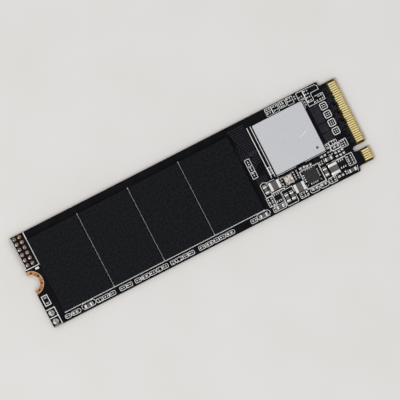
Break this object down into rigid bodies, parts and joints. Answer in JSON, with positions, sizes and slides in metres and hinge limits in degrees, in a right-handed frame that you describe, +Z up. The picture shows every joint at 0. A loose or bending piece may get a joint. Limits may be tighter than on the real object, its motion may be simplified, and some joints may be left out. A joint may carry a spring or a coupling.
{
  "type": "m2 nvme solid state drive",
  "caption": "Thin circuit card with a row of black memory packages, a pale-lidded controller, small chip parts, gold edge contacts with a key notch, and a half-round screw notch.",
  "frame": {"origin": "centre of the card's underside", "axes": "+X along the card towards its edge contacts, +Y across the card, +Z up from the underside towards the side with the packages"},
  "size_m": [0.08, 0.022, 0.0022],
  "materials": {
    "solder_mask_board": "black solder mask over glass-epoxy laminate",
    "contact_gold": "gold plate over nickel and copper",
    "bare_copper": "copper, dull, protected by a thin organic film",
    "solder": "reflowed tin solder",
    "package_epoxy": "fine-grained black moulding compound",
    "package_substrate": "dark green package laminate",
    "lid_metal": "satin nickel-plated lid",
    "tinned_terminal": "bright tinned end terminals and leads",
    "ferrite": "grey ferrite",
    "capacitor_ceramic": "grey-brown fired ceramic",
    "resistor_glaze": "black glazed resistor film",
    "crystal_ceramic": "cream ceramic",
    "crystal_cover": "pale gold-plated cover",
    "legend_ink": "white screen-printed ink"
  },
  "bodies": {
    "root": {"circuit_board": "solder_mask_board", "main_contacts_top": "contact_gold", "key_contacts_top": "contact_gold", "main_contacts_bottom": "contact_gold", "key_contacts_bottom": "contact_gold", "screw_ground_ring": "bare_copper", "test_header_pads": "solder", "power_test_pads": "solder", "controller_solder_balls": "solder", "flash_1_solder_balls": "solder", "flash_2_solder_balls": "solder", "flash_3_solder_balls": "solder", "flash_4_solder_balls": "solder", "flash_1_mould": "package_epoxy", "flash_2_mould": "package_epoxy", "flash_3_mould": "package_epoxy", "flash_4_mould": "package_epoxy", "power_manager": "package_epoxy", "load_switches": "package_epoxy", "small_converter": "package_epoxy", "settings_memory": "package_epoxy", "flash_1_substrate": "package_substrate", "flash_2_substrate": "package_substrate", "flash_3_substrate": "package_substrate", "flash_4_substrate": "package_substrate", "controller_substrate": "package_substrate", "controller_lid": "lid_metal", "power_manager_terminals": "tinned_terminal", "load_switch_leads": "tinned_terminal", "inductor_terminals": "tinned_terminal", "large_capacitor_terminals": "tinned_terminal", "medium_capacitor_terminals": "tinned_terminal", "resistor_terminals": "tinned_terminal", "small_capacitor_terminals": "tinned_terminal", "coupling_capacitor_terminals": "tinned_terminal", "inductor_bodies": "ferrite", "large_capacitor_bodies": "capacitor_ceramic", "medium_capacitor_bodies": "capacitor_ceramic", "small_capacitor_bodies": "capacitor_ceramic", "coupling_capacitor_bodies": "capacitor_ceramic", "resistor_bodies": "resistor_glaze", "crystal_base": "crystal_ceramic", "crystal_lid": "crystal_cover", "legend_lines": "legend_ink"}
  },
  "joints": []
}
